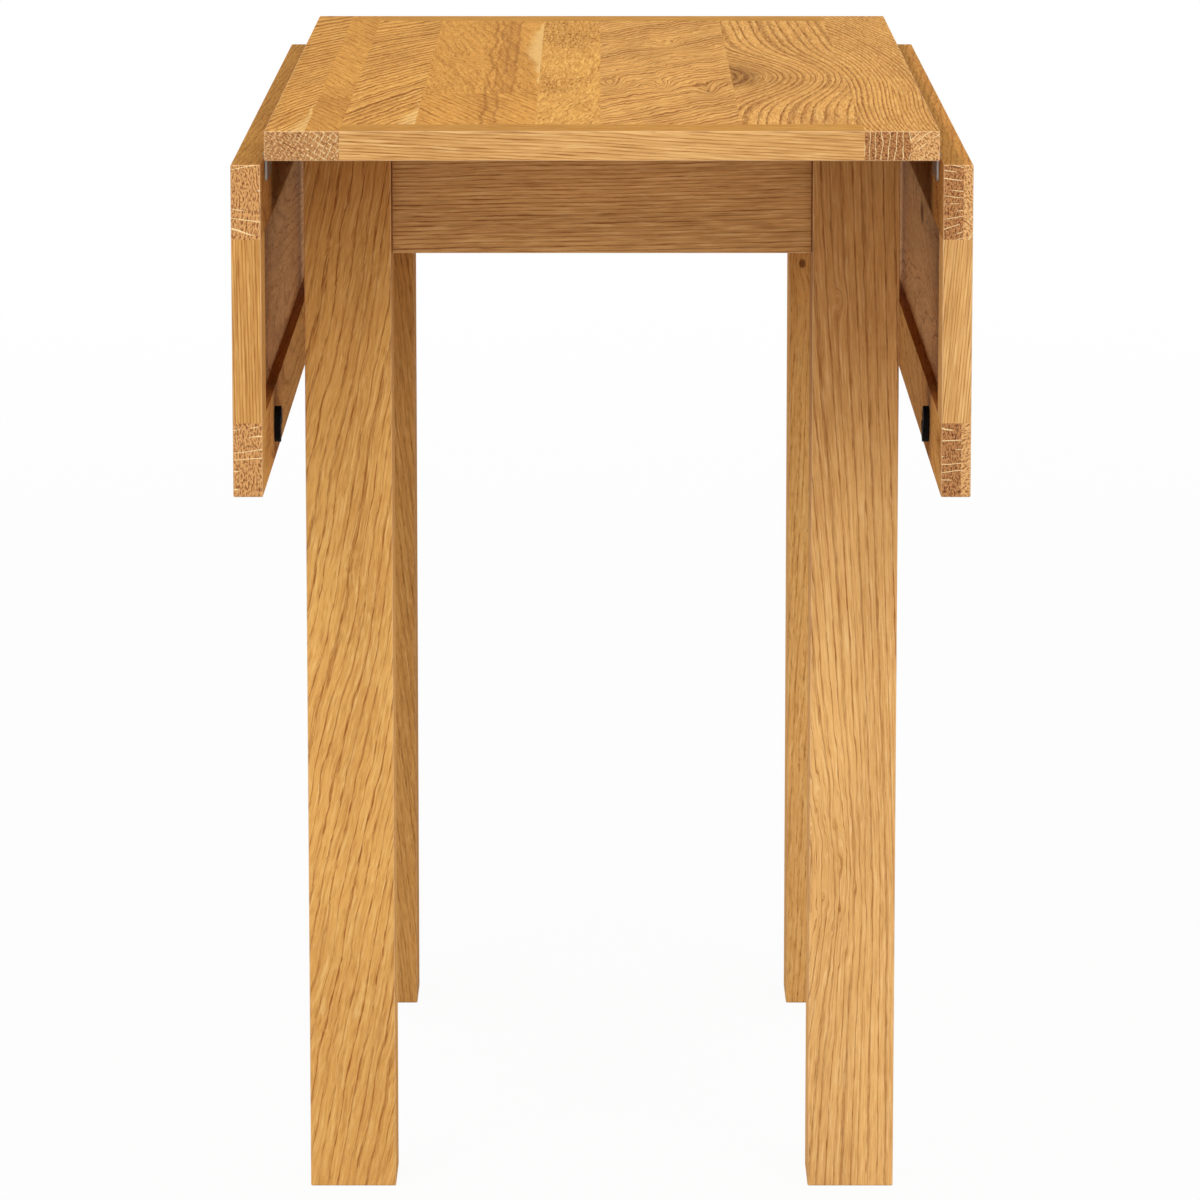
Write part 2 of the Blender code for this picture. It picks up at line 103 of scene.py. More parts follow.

# Tints that the wood is seen through: painted shade on faces that look up, and the stain of a knot's core
TOP_SHADE_GOLD = (0.84, 0.78, 0.64, 1.0)
TOP_SHADE_AMBER = (0.78, 0.70, 0.44, 1.0)
# Painted shade on the hinge stiles' top edges, under the table top
TOP_SHADE_OCHRE = (0.86, 0.90, 0.72, 1.0)
# Painted shade in the rebates of the leaves' free stiles, on the step face that looks up
REBATE_SHADE = (0.62, 0.50, 0.42, 1.0)
KNOT_STAIN = (0.24, 0.15, 0.10, 1.0)

# How often a figure of the wood repeats in a millimetre: along a board, across its rings, round its heart
STREAK_ALONG, STREAK_ACROSS = 0.028, 0.40
FIBRE_ALONG, FIBRE_ACROSS = 0.030, 0.62
CLOUD_ALONG, CLOUD_ACROSS = 0.005, 0.030
RAGGED_ALONG, RAGGED_ACROSS = 0.06, 1.1
PORE_ACROSS = 0.75
UNEVEN_ACROSS = 0.10
SPECK_ACROSS, SPECK_ROUND = 0.95, 0.42
RAY_ROUND, ROW_ROUND = 0.16, 0.36
SWAY_ROUND, SWAY_ACROSS, SWAY_ALONG = 0.06, 0.02, 0.05
BUNDLE_ROUND, BUNDLE_ACROSS, BUNDLE_ALONG = 0.11, 0.05, 0.05
VEIN_ALONG = 0.010

# How far apart in the noise two years are, and how rough every noise is
YEAR_STEP = 0.73
NOISE_ROUGHNESS = 0.55

# Levels between which a figure comes in, or at which a face counts as an end, a top or an arris
SPRING_RISE = (0.90, 1.0)
VIGOUR_RISE = (0.25, 0.75)
STREAK_RISE = (0.30, 0.66)
CLOUD_RISE = (0.30, 0.72)
FIBRE_RISE, FIBRE_FALL = (0.50, 0.74), (0.50, 0.25)
PORE_RISE, PORE_FALL = (0.52, 0.70), (0.47, 0.27)
RAY_FALL = (0.13, 0.03)
BUNDLE_RISE = (0.92, 1.02)
CORE_RISE = (0.05, 0.9)
VEIN_FALL = (1.0, 0.3)
SPECK_RISE, SPECK_FALL = (0.46, 0.60), (0.64, 0.36)
ROW_FALL = (0.40, 0.10)
EARLY_FALL = (0.30, 0.05)
END_RISE = (0.5, 0.85)
TOP_RISE = (0.6, 0.9)
ARRIS_FALL = (0.985, 0.90)

# How strongly it shows: in years, in rays, in millimetres for a vein, and then as a share of the colour
UNEVEN_YEARS, RAGGED_YEARS = 1.8, 0.5
RAY_SWAY, ROW_SWAY = 2.0, 1.5
VEIN_WANDER, VEIN_FRAY, VEIN_END = 15.0, 1.5, 0.01
FAINTEST_YEAR, FEWEST_PORES = 0.4, 0.4
CLOUD_SHADE = 0.25
FIBRE_GLEAM, FIBRE_SHADE = 0.65, 0.40
PORE_GLEAM, PORE_SHADE = 0.7, 0.8
RAY_ON_FACE, RAY_ON_END = 0.04, 0.9
SAWN_LINE, SAWN_SPECK, SAWN_NET = 0.25, 0.86, 0.6
KNOT_SHADE = 0.85
# Share of the painted highlight on the arrises
ARRIS_HIGHLIGHT_SHARE = 0.30

# Finishes: the tones and the grain of rubber and zinc, and how raised, rough and shiny each surface is
OAK_RELIEF, OAK_BUMP = 0.0003, 0.5
FIBRE_RELIEF, SPRING_RELIEF = 0.4, 0.4
OAK_ROUGHNESS = 0.74
PORE_ROUGHNESS, FIBRE_ROUGHNESS, END_ROUGHNESS = 0.12, 0.10, 0.10
OAK_SPECULAR = 0.02
RUBBER_TONES = (paint(6, 6, 6), paint(18, 17, 16))
RUBBER_GRAIN = 2.0
RUBBER_RELIEF, RUBBER_BUMP = 0.0001, 0.4
RUBBER_ROUGHNESS, RUBBER_GRAIN_ROUGHNESS = 0.65, 0.2
RUBBER_SPECULAR = 0.10
ZINC_TONES = (paint(196, 196, 192), paint(160, 160, 158))
ZINC_CLOUD = 0.25
SCUFF_ALONG, SCUFF_ACROSS = 0.4, 3.0
ZINC_RELIEF, ZINC_BUMP = 0.00003, 0.3
ZINC_ROUGHNESS, CLOUD_ROUGHNESS, SCUFF_ROUGHNESS = 0.2, 0.15, 0.1

# Features of a board, placed along and across it in millimetres from its centre
# A darkening along a board: painted shade at the tops of the legs, under the table top, elsewhere the wood's
# own tone
ToneAndShade = namedtuple("ToneAndShade", "begins complete depth")
Burl = namedtuple("Burl", "along across reach_along reach_across curl strength")
Knot = namedtuple("Knot", "along across reach_along reach_across bend darkness")
Vein = namedtuple("Vein", "across half_width widest reach colour strength")
BURL_STRETCH = 5
CORE_SHARE = 0.16


class Shade:
    """One output of a shader node. Python's operators on it add Math nodes."""

    def __init__(self, tree, socket=None):
        self.tree = tree
        self.socket = socket

    def node(self, kind, sockets, settings=None, out=0):
        """Adds a node: its settings first, then the values or links of its sockets."""
        made = self.tree.nodes.new(kind)
        for key, value in (settings or {}).items():
            setattr(made, key, value)
        for key, value in sockets.items():
            if isinstance(value, Shade):
                self.tree.links.new(value.socket, made.inputs[key])
            else:
                made.inputs[key].default_value = value
        return Shade(self.tree, made.outputs[out])

    def math(self, operation, *values):
        """Adds a Math node that works on some values."""
        return self.node("ShaderNodeMath", dict(enumerate(values)), {"operation": operation})

    def __add__(self, other):
        return self.math("ADD", self, other)

    __radd__ = __add__

    def __mul__(self, other):
        return self.math("MULTIPLY", self, other)

    def __sub__(self, other):
        return self.math("SUBTRACT", self, other)

    def __truediv__(self, other):
        return self.math("DIVIDE", self, other)

    def __pow__(self, other):
        return self.math("POWER", self, other)

    def __rpow__(self, other):
        return self.math("POWER", other, self)

    def __abs__(self):
        return self.math("ABSOLUTE", self)

    def step(self, low, high):
        """0 below one level, 1 above the other, and a smooth rise between them."""
        sockets = {"Value": self, "From Min": low, "From Max": high}
        return self.node("ShaderNodeMapRange", sockets, {"interpolation_type": "SMOOTHSTEP"})

    def mix(self, colour, other):
        """The first colour where this value is 0, and the other where it is 1."""
        return self.node("ShaderNodeMix", {0: self, 6: colour, 7: other}, {"data_type": "RGBA"}, 2)

    def tint(self, colour, glaze):
        """The colour where this value is 0, and the colour seen through a glaze where it is 1."""
        settings = {"data_type": "RGBA", "blend_type": "MULTIPLY"}
        return self.node("ShaderNodeMix", {0: self, 6: colour, 7: glaze}, settings, 2)

    def split(self):
        """The three parts of a vector."""
        return [self.node("ShaderNodeSeparateXYZ", {0: self}, out=part) for part in range(3)]

    def noise(self, place, detail=2.0, out="Fac"):
        """Noise at a place, which is three values."""
        vector = self.node("ShaderNodeCombineXYZ", dict(enumerate(place)))
        sockets = {"Vector": vector, "Scale": 1.0, "Detail": detail, "Roughness": NOISE_ROUGHNESS}
        return self.node("ShaderNodeTexNoise", sockets, out=out)

    def bump(self, distance, strength):
        """The direction of a face that this value raises."""
        sockets = {"Height": self, "Distance": distance, "Strength": strength}
        return self.node("ShaderNodeBump", sockets, out="Normal")


def new_finish(name):
    """An empty material, its node tree to build in, and its shader's sockets."""
    material = bpy.data.materials.new(name)
    material.use_nodes = True
    shader = material.node_tree.nodes["Principled BSDF"]
    return material, Shade(material.node_tree), shader.inputs


def feed(sockets, **links):
    """Links values to a shader's sockets, named with _ for each space."""
    for name, value in links.items():
        value.tree.links.new(value.socket, sockets[name.replace("_", " ")])


def hump(place, centre, reach):
    """A smooth hump, 1 at its centre, that dies away over the given reach on each axis."""
    near = [(value - middle) / length for value, middle, length in zip(place, centre, reach)]
    far = sum(value * value for value in near)
    return math.exp(-1.0) ** far


def growth(shade, place, heart, lean, sweep, ring, wave, wave_length, burls, knots, seed):
    """Where a point of a board lay in the tree, in millimetres and years.

    It gives the distance out from the heart, the distance round it, the years, and how deep in a knot it is.
    """
    length, width, depth = place
    slow, cross = 1 / wave_length, 2 / wave_length
    drift = shade.noise((length * slow + seed, width * cross, depth * cross), 3.0, "Color").split()
    out_w = width - heart[0] - length * (length * sweep + lean[0]) + (drift[0] - 0.5) * (2 * wave)
    out_d = depth - heart[1] - length * lean[1] + (drift[1] - 0.5) * (2 * wave)
    out = (out_w * out_w + out_d * out_d) ** 0.5
    about = shade.math("ARCTAN2", out_d, out_w) * math.hypot(*heart)
    for burl in burls:
        curl_along = length / (BURL_STRETCH * burl.curl) + seed
        swirl = shade.noise((curl_along, width / burl.curl, depth / burl.curl)) - 0.5
        near = hump((length, width), (burl.along, burl.across), (burl.reach_along, burl.reach_across))
        out = out + swirl * near * (burl.strength * ring)
    core = 0.0
    for knot in knots:
        at, reach = (knot.along, knot.across), (knot.reach_along, knot.reach_across)
        out = out - hump((length, width), at, reach) * (knot.bend * ring)
        if knot.darkness:
            core = core + hump((length, width), at, [side * CORE_SHARE for side in reach]) * knot.darkness
    ragged = shade.noise((length * RAGGED_ALONG, out * RAGGED_ACROSS + seed, about * RAGGED_ACROSS))
    uneven = shade.noise((out * UNEVEN_ACROSS + seed, 0.0, 0.0), 1.0)
    years = out / ring + uneven * UNEVEN_YEARS + ragged * RAGGED_YEARS
    return out, about, years, core


def oak(name, centre, along, across, heart, lean=(0.0, 0.0), sweep=0.0, ring=4.0, spring_share=0.3,
        contrast=0.8, broken=0.8, wave=3.0, wave_length=120.0, pores=0.7, pore_length=8.0, tone=HONEY,
        end_tone=END_BROWN, tans=(), sun=None, rays=0.5, skew=0.0, net=0.1, burls=(), knots=(), veins=(),
        seed=0.0):
    """Oiled oak, as its board lay in the log. Lengths are in millimetres.

    The rings lie round the heart, which passes the board's centre at the given distance across the face and
    below it, and leans by that much for each millimetre of length. A sweep adds to the lean across the face
    for each millimetre from the centre. Spring wood takes its share of each ring, and its lines are more or
    less broken. A face that looks up is tinted with painted shade. Rays are the share of the end that they
    cross, their skew is how far they turn off the line to the heart, and the net is how strongly pale specks
    show there. Each darkening along the board gives where the wood begins to darken, where that is complete,
    and by how much: towards the tops of the legs it is painted shade under the table top, elsewhere the
    wood's own tone. A burl bends the rings into curls of its size, and a knot by a number of rings, each as
    far as it reaches. A vein has its own colour, and is narrower the farther it is from where it is widest.
    The arrises take a painted highlight.
    """
    material, shade, shader = new_finish(name)
    coords = shade.node("ShaderNodeTexCoord", {}, out="Object")
    centred = shade.node("ShaderNodeVectorMath", {0: coords, 1: centre}, {"operation": "SUBTRACT"})
    parts = [part / MM for part in centred.split()]
    length, width, thickness = parts[along], parts[across], parts[3 - along - across]
    out, about, years, core = growth(
        shade, (length, width, thickness), heart, lean, sweep, ring, wave, wave_length, burls, knots, seed)

    season = shade.math("FRACT", years)
    line = shade.math("MAXIMUM", season.step(spring_share, 0.0), season.step(*SPRING_RISE))
    vigour = shade.noise((shade.math("FLOOR", years) * YEAR_STEP + seed, 0.0, 0.0), 0.0)
    streak = shade.noise((length * STREAK_ALONG + seed, out * STREAK_ACROSS, about * STREAK_ACROSS))
    fibre = shade.noise((length * FIBRE_ALONG, out * FIBRE_ACROSS + seed, about * FIBRE_ACROSS), 3.0)
    dash = shade.noise((length / pore_length, out * PORE_ACROSS, about * PORE_ACROSS + seed))
    cloud = shade.noise((length * CLOUD_ALONG, width * CLOUD_ACROSS + seed, thickness * CLOUD_ACROSS))
    sway = shade.noise((about * SWAY_ROUND + seed, out * SWAY_ACROSS, length * SWAY_ALONG), 1.0)
    bundle = shade.noise((about * BUNDLE_ROUND, out * BUNDLE_ACROSS + seed, length * BUNDLE_ALONG), 1.0)
    fan = shade.math("FRACT", (about + out * skew) * RAY_ROUND + sway * RAY_SWAY)
    ray = fan.step(*RAY_FALL) * bundle.step(*[level - rays for level in BUNDLE_RISE])

    lively = vigour.step(*VIGOUR_RISE) * (1 - FAINTEST_YEAR) + FAINTEST_YEAR
    unbroken = streak.step(*STREAK_RISE) * broken + (1 - broken)
    spring = line * lively * unbroken * contrast
    open_pores = dash.step(*PORE_RISE) * (line * (1 - FEWEST_PORES) + FEWEST_PORES) * pores
    wood = (cloud.step(*CLOUD_RISE) * CLOUD_SHADE).mix(tone["clear"], tone["line"])
    wood = (fibre.step(*FIBRE_RISE) * FIBRE_GLEAM).mix(wood, tone["gleam"])
    wood = (fibre.step(*FIBRE_FALL) * FIBRE_SHADE).mix(wood, tone["line"])
    wood = (dash.step(*PORE_FALL) * (PORE_GLEAM * pores)).mix(wood, tone["gleam"])
    wood = spring.mix(wood, tone["line"])
    wood = (open_pores * PORE_SHADE).mix(wood, PORE)
    wood = (ray * RAY_ON_FACE).mix(wood, RAY)
    # Darkening along the board: painted shade towards the tops of the legs, under the table top; elsewhere
    # the wood's own tone
    tone_and_shade_glaze = [dark / clear for dark, clear in zip(tone["line"], tone["clear"])]
    for darkening in tans:
        wood = (length.step(darkening.begins, darkening.complete) * darkening.depth).tint(wood, tone_and_shade_glaze)
    for vein in veins:
        wander = (shade.noise((length * VEIN_ALONG + seed, vein.across, 0.0)) - 0.5) * VEIN_WANDER
        away = abs(width - vein.across + (wander + (fibre - 0.5) * VEIN_FRAY))
        breadth = hump((length,), (vein.widest,), (vein.reach,)) * vein.half_width + VEIN_END
        wood = ((away / breadth).step(*VEIN_FALL) * vein.strength).mix(wood, vein.colour)
    if isinstance(core, Shade):
        wood = (core.step(*CORE_RISE) * KNOT_SHADE).tint(wood, KNOT_STAIN)

    normal = shade.node("ShaderNodeTexCoord", {}, out="Normal").split()
    end = abs(normal[along]).step(*END_RISE)
    speck = shade.noise((length, out * SPECK_ACROSS + seed, about * SPECK_ROUND), 3.0)
    row = shade.math("FRACT", about * ROW_ROUND + cloud * ROW_SWAY).step(*ROW_FALL)
    specks = speck.step(*SPECK_RISE) * (SAWN_SPECK - SAWN_NET * net)
    sawn = (line * SAWN_LINE + specks).mix(end_tone["clear"], end_tone["line"])
    crossing = shade.math("MAXIMUM", season.step(*EARLY_FALL), row)
    sawn = (crossing * speck.step(*SPECK_FALL) * net).mix(sawn, RAY)
    sawn = (ray * RAY_ON_END).mix(sawn, RAY)
    colour = end.mix(wood, sawn)
    # Painted shade: faces that look up are tinted darker and warmer
    if sun:
        colour = normal[Z].step(*TOP_RISE).tint(colour, sun)
    # Painted highlight on the rounded arrises, where the face turns
    flattest = shade.math("MAXIMUM", shade.math("MAXIMUM", abs(normal[X]), abs(normal[Y])), abs(normal[Z]))
    colour = (flattest.step(*ARRIS_FALL) * ARRIS_HIGHLIGHT_SHARE).mix(colour, ARRIS_HIGHLIGHT)

    relief = fibre * FIBRE_RELIEF - open_pores - spring * SPRING_RELIEF
    rough = open_pores * PORE_ROUGHNESS + fibre * FIBRE_ROUGHNESS + end * END_ROUGHNESS + OAK_ROUGHNESS
    feed(shader, Base_Color=colour, Roughness=rough, Normal=relief.bump(OAK_RELIEF, OAK_BUMP))
    shader["Specular IOR Level"].default_value = OAK_SPECULAR
    return material


def on_outside(point, low, high):
    """Whether a point lies in one of the six planes of a box."""
    return any(abs(point[axis] - box[axis]) < SAME_PLANE for box in (low, high) for axis in range(3))


def plank(low, high, whole=None, arris=ARRIS):
    """A planed board between two corners. Arrises on the outside of the whole are rounded."""
    outer_low, outer_high = whole or (low, high)
    shape = bmesh.new()
    bmesh.ops.create_cube(shape, size=1.0)
    bmesh.ops.scale(shape, vec=high - low, verts=shape.verts)
    bmesh.ops.translate(shape, vec=(low + high) / 2, verts=shape.verts)
    eased = []
    for edge in shape.edges:
        if all(on_outside(face.calc_center_median(), outer_low, outer_high) for face in edge.link_faces):
            eased.append(edge)
    bmesh.ops.bevel(shape, geom=eased, offset=arris, segments=ARRIS_STEPS, profile=0.5, affect="EDGES")
    return shape


def piece_from(name, shape, material, body, slot):
    """Makes an object of a shape, which rides on a body and takes a finish. The slot is not used."""
    mesh = bpy.data.meshes.new(name)
    shape.to_mesh(mesh)
    shape.free()
    mesh.materials.append(material)
    piece = bpy.data.objects.new(name, mesh)
    bpy.context.scene.collection.objects.link(piece)
    mesh.shade_smooth()
    mesh.set_sharp_from_angle(angle=FLAT_ANGLE)
    flats = piece.modifiers.new("flats", "WEIGHTED_NORMAL")
    flats.keep_sharp = True
    flats.weight = FACE_WEIGHT
    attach(piece, body)
    return piece


def carve(shape, *cutters):
    """Cuts other shapes out of a shape."""
    def as_object(part):
        mesh = bpy.data.meshes.new("carving")
        part.to_mesh(mesh)
        part.free()
        made = bpy.data.objects.new("carving", mesh)
        bpy.context.scene.collection.objects.link(made)
        return made

    block = as_object(shape)
    tools = [as_object(cutter) for cutter in cutters]
    for tool in tools:
        boolean = block.modifiers.new("cut", "BOOLEAN")
        boolean.object = tool
    bpy.context.view_layer.update()
    carved = bmesh.new()
    carved.from_object(block, bpy.context.evaluated_depsgraph_get())
    for made in [block, *tools]:
        bpy.data.objects.remove(made)
    return carved


def rod(radius, low, high, axis, centre):
    """A round bar along an axis, between two distances from its centre."""
    shape = bmesh.new()
    bmesh.ops.create_cone(
        shape, cap_ends=True, segments=ROUND_STEPS, radius1=radius, radius2=radius, depth=high - low)
    bmesh.ops.translate(shape, vec=(0.0, 0.0, (low + high) / 2), verts=shape.verts)
    turn = Vector((0.0, 0.0, 1.0)).rotation_difference(Vector(axis)).to_matrix().to_4x4()
    shape.transform(Matrix.Translation(centre) @ turn)
    return shape


def mid(low, high):
    """The centre of a box."""
    return tuple((low + high) / 2)


def box_of(*nodes):
    """The box round some CAD nodes."""
    lows, highs = zip(*(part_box(node) for node in nodes))
    low = Vector(min(corner[axis] for corner in lows) for axis in range(3))
    high = Vector(max(corner[axis] for corner in highs) for axis in range(3))
    return low, high


def between(low, high, axis, start, stop):
    """The part of a box between two places on one axis."""
    low, high = low.copy(), high.copy()
    low[axis], high[axis] = start, stop
    return low, high


def closed(low, high, whole):
    """A board's box, grown to the middle of the seams inside the whole."""
    low, high = low.copy(), high.copy()
    for axis in range(3):
        if low[axis] - whole[0][axis] > SAME_PLANE:
            low[axis] -= SEAM
        if whole[1][axis] - high[axis] > SAME_PLANE:
            high[axis] += SEAM
    return low, high


def hinge_grooves(side):
    """The room that the stiles leave for the knuckles of one side's hinges."""
    for end in ENDS:
        low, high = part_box(f"hinge_pin_{side}_{end}")
        centre = (low + high) / 2
        knuckle = centre.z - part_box(f"hinge_top_plate_{side}_{end}")[0].z
        reach = (high.y - low.y) / 2 + KNUCKLE_END_ROOM
        yield rod(knuckle + KNUCKLE_ROOM, -reach, reach, (0.0, 1.0, 0.0), centre)


def shared_out(low, high, edge, widths):
    """Parts of a box side by side, their seams measured from an edge. A width of None takes the rest."""
    start = low.x
    for width in widths:
        edge = high.x if width is None else edge + width
        yield between(low, high, X, start, edge)
        start = edge


def oak_board(name, low, high, whole, along, across, body, slot, node, cut, grooves=()):
    """One board of an assembly: its shape, its own oak, and the CAD node that it stands for."""
    shape = plank(low, high, whole)
    if grooves:
        shape = carve(shape, *grooves)
    material = oak(f"{name}_oak", mid(low, high), along, across, **cut)
    piece = piece_from(name, shape, material, body, slot)
    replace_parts(piece, node)


def dress(node, material):
    """Gives a CAD node a finish."""
    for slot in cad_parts[node].material_slots:
        slot.material = material


# How the boards of the top were cut, from the left. Each strip of a stile has its width and its cut.
STILE_CUTS = {
    "left": [
        (0.0273, dict(
            heart=(-260, -600), lean=(0.32, 0.0), sweep=0.00016, ring=2.7, spring_share=0.6, contrast=1.0,
            broken=0.1, wave=3.5, wave_length=190, tone=GOLD, end_tone=END_TAN, rays=0.2, net=0.5, seed=1.3,
            burls=[Burl(0, 0, 900, 90, curl=7, strength=0.8)],
            veins=[Vein(13, 13.0, -430, 80, SAP, strength=0.4)])),
        (None, dict(
            heart=(250, -220), lean=(-0.24, 0.0), ring=4.6, contrast=0.6, wave=5.0, tone=AMBER,
            end_tone=END_TAN, tans=[ToneAndShade(-210, -230, depth=0.18)], rays=0.2, net=0.68, seed=2.7)),
    ],
    "right": [
        (0.0306, dict(
            heart=(-60, -110), lean=(0.0, -0.066), ring=1.6, spring_share=0.5, contrast=1.0, broken=0.3,
            wave=2.0, wave_length=300, tone=CORN, end_tone=END_DARK, rays=0.62, skew=-0.8, seed=4.1,
            knots=[Knot(-480, 0, 330, 200, bend=-17, darkness=0)])),
        (None, dict(
            heart=(-85, -110), lean=(0.0, -0.09), ring=1.9, spring_share=0.5, contrast=0.9, broken=0.3,
            wave=2.0, wave_length=300, tone=CORN, end_tone=END_PALE, rays=0.46, seed=5.9,
            knots=[Knot(-480, 0, 330, 200, bend=-17, darkness=0)])),
    ],
}

# Each stave has its width, the cut of a shorter piece at its front if it has one, and its own cut
FRONT_STAVE_LENGTH = 0.2147
STAVE_CUTS = [
    (0.0490, None, dict(
        heart=(-260, -220), lean=(0.35, 0.0), sweep=0.00018, ring=5.8, spring_share=0.6, contrast=1.0,
        broken=0.1, wave=9.0, wave_length=190, tone=GOLD, seed=8.2,
        burls=[Burl(0, 0, 900, 90, curl=7, strength=0.9)],
        veins=[Vein(24, 17.0, -410, 80, SAP, strength=0.4)])),
    (0.0807, dict(
        heart=(200, -160), lean=(-0.26, 0.0), ring=4.8, spring_share=0.5, contrast=0.8, wave=5.0,
        tone=AMBER, seed=24.3,
        veins=[Vein(4, 2.0, 0, 700, PORE, strength=0.36), Vein(12, 1.6, 0, 700, PORE, strength=0.3)],
    ), dict(
        heart=(70, -60), lean=(-0.10, 0.02), ring=5.5, spring_share=0.4, contrast=0.35, wave=8.0,
        tone=AMBER, seed=11.4,
        veins=[
            Vein(16, 10.0, 0, 700, AMBER["line"], strength=0.2),
            Vein(4, 1.9, 0, 700, PORE, strength=0.36),
            Vein(9, 1.5, 0, 700, PORE, strength=0.3),
            Vein(15, 1.5, 0, 700, PORE, strength=0.24),
            Vein(22, 1.9, 0, 700, PORE, strength=0.32),
            Vein(41, 15.0, 60, 170, SAP, strength=0.55),
        ])),
    (0.0440, dict(
        heart=(0, -60), lean=(0.1, 0.0), ring=4.0, contrast=0.5, pores=1.0, pore_length=14, tone=GOLD,
        seed=27.9, burls=[Burl(0, 0, 200, 80, curl=20, strength=4.0)],
    ), dict(
        heart=(-4, -150), lean=(0.01, 0.02), ring=9.0, contrast=0.3, pores=1.0, pore_length=14,
        tone=GOLD, seed=13.8)),
    (0.0943, None, dict(
        heart=(-420, -50), lean=(0.55, 0.0), ring=10.0, spring_share=0.5, contrast=1.0, broken=0.2,
        wave=6.0, pores=1.0, pore_length=14, tone=CORN, seed=17.5,
        burls=[Burl(0, 0, 600, 120, curl=22, strength=4.0), Burl(0, 0, 600, 120, curl=7, strength=0.9)],
        knots=[
            Knot(192, 4, 34, 9, bend=3, darkness=0),
            Knot(-125, -40, 40, 9, bend=3, darkness=0),
            Knot(-135, -3, 34, 7, bend=3, darkness=0),
            Knot(-172, 29, 40, 9, bend=2, darkness=1),
        ])),
    (None, None, dict(
        heart=(-160, -30), ring=7.5, spring_share=0.55, contrast=1.0, broken=0.4, wave=4.0,
        wave_length=260, pores=0.9, pore_length=14, tone=CORN, seed=21.1,
        knots=[
            Knot(-65, -44, 145, 88, bend=9, darkness=0),
            Knot(0, -42, 480, 170, bend=0.5, darkness=0.30),
            Knot(-105, -42, 400, 190, bend=0.5, darkness=0.34),
            Knot(-60, -34, 760, 320, bend=0.5, darkness=0.20),
        ])),
]

RAIL_GRAIN = dict(
    ring=1.7, spring_share=0.4, contrast=1.0, broken=0.5, wave=1.5, pores=0.6, pore_length=26, tone=LINEN)
RAIL_CUTS = {
    "front": dict(heart=(-60, 45), lean=(0.0, -0.05), seed=31.7, **RAIL_GRAIN),
    "back": dict(heart=(55, 40), lean=(0.0, 0.03), seed=35.2, **RAIL_GRAIN),
}


def make_top_stiles(whole):
    """Two stiles of two strips each. The outer strips leave room for the hinges."""
    for side in SIDES:
        node = f"top_stile_{side}"
        low, high = closed(*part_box(node), whole)
        widths, cuts = zip(*STILE_CUTS[side])
        parts = shared_out(low, high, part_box(node)[0].x, widths)
        for strip, (part, cut) in enumerate(zip(parts, cuts), 1):
            outer_strip = 1 if side == "left" else len(cuts)
            grooves = list(hinge_grooves(side)) if strip == outer_strip else ()
            name = f"{node}_strip_{strip}"
            # Painted shade tints the strips' upward faces
            oak_board(name, *part, whole, Y, X, "frame", "oak_top", node, dict(cut, sun=TOP_SHADE_GOLD), grooves)


def make_top_rails(whole):
    """A rail at each end, between the stiles."""
    for end in ENDS:
        node = f"top_rail_{end}"
        part = closed(*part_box(node), whole)
        # Painted shade tints the rail's upward face
        cut = dict(RAIL_CUTS[end], sun=TOP_SHADE_AMBER)
        oak_board(f"{node}_board", *part, whole, X, Y, "frame", "oak_top", node, cut)


def make_top_panel(whole):
    """Staves between the stiles and the rails, two of them with a shorter piece at the front."""
    node = "top_panel"
    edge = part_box(node)[0]
    low, high = closed(*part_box(node), whole)
    low.z = edge.z
    widths, front_cuts, cuts = zip(*STAVE_CUTS)
    parts = shared_out(low, high, edge.x, widths)
    for stave, (part, front_cut, cut) in enumerate(zip(parts, front_cuts, cuts), 1):
        name = f"top_stave_{stave}"
        back_start = low.y
        if front_cut:
            back_start = edge.y + FRONT_STAVE_LENGTH
        back = between(*part, Y, back_start, high.y)
        # Painted shade tints the staves' upward faces, at the front too
        oak_board(name, *back, whole, Y, X, "frame", "oak_panel", node, dict(cut, sun=TOP_SHADE_GOLD))
        if front_cut:
            front = between(*part, Y, low.y, back_start)
            front_cut = dict(front_cut, sun=TOP_SHADE_GOLD)
            oak_board(f"{name}_front", *front, whole, Y, X, "frame", "oak_panel", node, front_cut)


